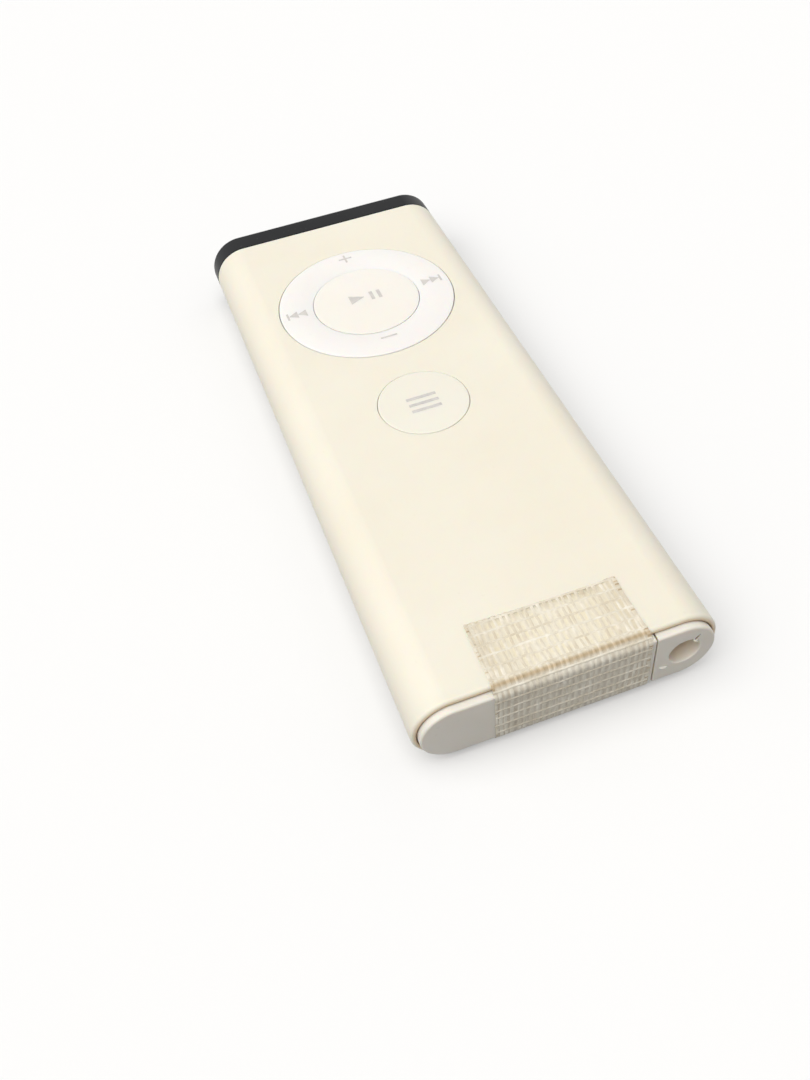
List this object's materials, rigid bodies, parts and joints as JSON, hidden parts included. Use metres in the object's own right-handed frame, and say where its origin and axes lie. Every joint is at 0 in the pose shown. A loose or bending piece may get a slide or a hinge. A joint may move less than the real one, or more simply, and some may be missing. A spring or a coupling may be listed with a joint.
{
  "type": "infrared remote control",
  "caption": "Slim oval handheld infrared remote with a tilting key ring, two round keys, a dark end window and a sliding coin-cell tray held by tape.",
  "frame": {"origin": "centre of the flat back face", "axes": "+Z out of the key face, +Y along the length towards the infrared window, +X to the right seen from above"},
  "size_m": [0.032, 0.0828, 0.009],
  "materials": {
    "ivory_plastic": "smooth satin moulded plastic, yellowed ivory",
    "white_plastic": "satin moulded plastic, cool white",
    "cap_plastic": "satin off-white moulded plastic",
    "infrared_plastic": "dark plastic that passes infrared light",
    "frame_plastic": "plain moulded plastic",
    "board_laminate": "glass-fibre laminate with solder mask",
    "spring_steel": "bright spring steel",
    "cell_steel": "nickel-plated steel",
    "tinned_copper": "tinned wire",
    "chip_resin": "moulded resin",
    "ceramic": "coated ceramic",
    "led_resin": "tinted clear resin",
    "gasket_nylon": "nylon seal",
    "filament_tape": "aged clear tape with woven filaments"
  },
  "bodies": {
    "case": {"outer_sleeve": "ivory_plastic", "ir_window": "infrared_plastic", "inner_chassis": "frame_plastic", "end_block": "cap_plastic", "circuit_board": "board_laminate", "board_screw_1": "spring_steel", "board_screw_2": "spring_steel", "dome_up": "spring_steel", "dome_down": "spring_steel", "dome_left": "spring_steel", "dome_right": "spring_steel", "dome_centre": "spring_steel", "dome_menu": "spring_steel", "microcontroller": "chip_resin", "ceramic_resonator": "ceramic", "driver_transistor": "chip_resin", "series_resistor": "chip_resin", "reservoir_capacitor": "ceramic", "ir_led": "led_resin", "led_lead_1": "tinned_copper", "led_lead_2": "tinned_copper", "negative_contact": "spring_steel", "positive_contact": "spring_steel", "plunger_spring": "spring_steel", "latch_spring": "spring_steel"},
    "tray": {"battery_tray": "cap_plastic", "coin_cell_can": "cell_steel", "coin_cell_gasket": "gasket_nylon", "coin_cell_cap": "cell_steel", "filament_tape": "filament_tape"},
    "plunger": {"release_plunger": "ivory_plastic"},
    "menu_key": {"menu_button": "ivory_plastic"},
    "centre_key": {"centre_button": "white_plastic"},
    "rocker": {"ring_rocker": "frame_plastic"},
    "ring": {"direction_ring": "white_plastic"}
  },
  "joints": [
    {"name": "tray_slide", "type": "slide", "parent": "case", "child": "tray", "axis": [0, -1, 0], "range_m": [0, 0.026], "deforming": ["latch_spring"]},
    {"name": "release_press", "type": "slide", "parent": "case", "child": "plunger", "axis": [0, 1, 0], "range_m": [0, 0.0012], "stiffness_N_per_m": 600, "deforming": ["plunger_spring"]},
    {"name": "menu_press", "type": "slide", "parent": "case", "child": "menu_key", "axis": [0, 0, -1], "range_m": [0, 0.00025], "stiffness_N_per_m": 2000, "deforming": ["dome_menu"]},
    {"name": "centre_press", "type": "slide", "parent": "case", "child": "centre_key", "axis": [0, 0, -1], "range_m": [0, 0.00025], "stiffness_N_per_m": 2000, "deforming": ["dome_centre"]},
    {"name": "ring_tilt_up_down", "type": "hinge", "parent": "case", "child": "rocker", "pos_m": [0, 0.0196, 0.00587], "axis": [1, 0, 0], "range_deg": [-1.5, 1.5], "stiffness_Nm_per_rad": 0.4, "deforming": ["dome_up", "dome_down"]},
    {"name": "ring_tilt_left_right", "type": "hinge", "parent": "rocker", "child": "ring", "pos_m": [0, 0.0196, 0.00587], "axis": [0, 1, 0], "range_deg": [-1.5, 1.5], "stiffness_Nm_per_rad": 0.4, "deforming": ["dome_left", "dome_right"]}
  ]
}
